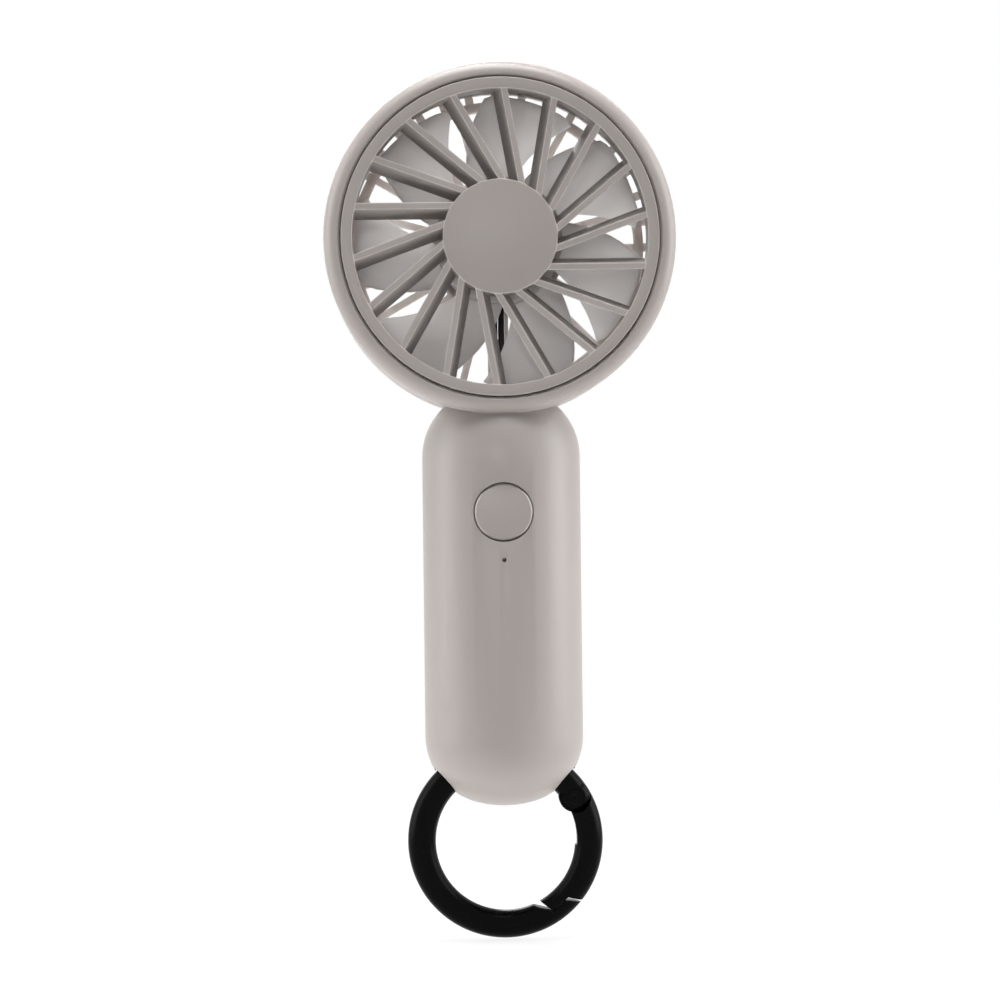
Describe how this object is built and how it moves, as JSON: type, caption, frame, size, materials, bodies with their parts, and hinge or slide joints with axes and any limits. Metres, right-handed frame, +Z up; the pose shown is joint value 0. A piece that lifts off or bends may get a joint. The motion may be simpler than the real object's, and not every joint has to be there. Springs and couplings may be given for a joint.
{
  "type": "handheld fan",
  "caption": "Small battery handheld fan: round caged head with slanted spokes, capsule grip with push button and rear charging socket, and a black spring-gate carrying ring at the foot.",
  "frame": {"origin": "middle of the grip, on its axis, where a hand closes round it", "axes": "+Z up along the grip to the head, -Y the way the fan blows, +X to the right seen from the front"},
  "size_m": [0.0706, 0.0322, 0.1771],
  "materials": {
    "shell": "fine matt moulded plastic, warm grey",
    "grille": "satin moulded plastic, warm grey",
    "ring_black": "satin black paint on cast metal",
    "steel": "plain steel",
    "magnet": "sintered magnet",
    "bronze": "oil-filled bronze",
    "copper": "enamelled copper winding",
    "nickel": "nickel strip",
    "board": "green circuit board",
    "black_plastic": "moulded black plastic",
    "smoked_lens": "dark light pipe",
    "lead_jacket": "soft black wire jacket",
    "cell_sleeve": "shrink sleeve over the can",
    "foam": "closed-cell foam"
  },
  "bodies": {
    "casing": {"front_shell": "shell", "rear_shell": "shell", "front_grille": "grille", "rear_grille": "grille", "stator_core": "steel", "usb_shell": "steel", "case_screws": "steel", "board_screws": "steel", "sleeve_bearing": "bronze", "stator_coils": "copper", "battery_tabs": "nickel", "motor_board": "board", "main_board": "board", "usb_board": "board", "tact_switch": "black_plastic", "board_chips": "black_plastic", "usb_tongue": "black_plastic", "thrust_washer": "black_plastic", "led_window": "smoked_lens", "status_led": "smoked_lens", "motor_leads": "lead_jacket", "battery_leads": "lead_jacket", "battery_cell": "cell_sleeve", "battery_pads": "foam"},
    "rotor": {"impeller": "grille", "rotor_yoke": "steel", "rotor_magnet": "magnet", "motor_shaft": "steel", "shaft_clip": "steel"},
    "button": {"button_cap": "shell", "switch_plunger": "black_plastic"},
    "ring": {"ring_body": "ring_black", "gate_pin": "ring_black", "gate_spring": "steel"},
    "gate": {"ring_gate": "ring_black"}
  },
  "joints": [
    {"name": "rotor_spin", "type": "hinge", "parent": "casing", "child": "rotor", "pos_m": [0, 0, 0.0721], "axis": [0, 1, 0], "continuous": true},
    {"name": "button_press", "type": "slide", "parent": "casing", "child": "button", "axis": [0, 1, 0], "range_m": [0, 0.0005], "stiffness_N_per_m": 4000},
    {"name": "ring_swing", "type": "hinge", "parent": "casing", "child": "ring", "pos_m": [0, 0, -0.0328], "axis": [1, 0, 0], "range_deg": [-30, 30]},
    {"name": "gate_open", "type": "hinge", "parent": "ring", "child": "gate", "pos_m": [0.01416, 0, -0.041], "axis": [0, 1, 0], "range_deg": [0, 26], "stiffness_Nm_per_rad": 0.03, "springref_deg": -17.19, "deforming": ["gate_spring"]}
  ]
}
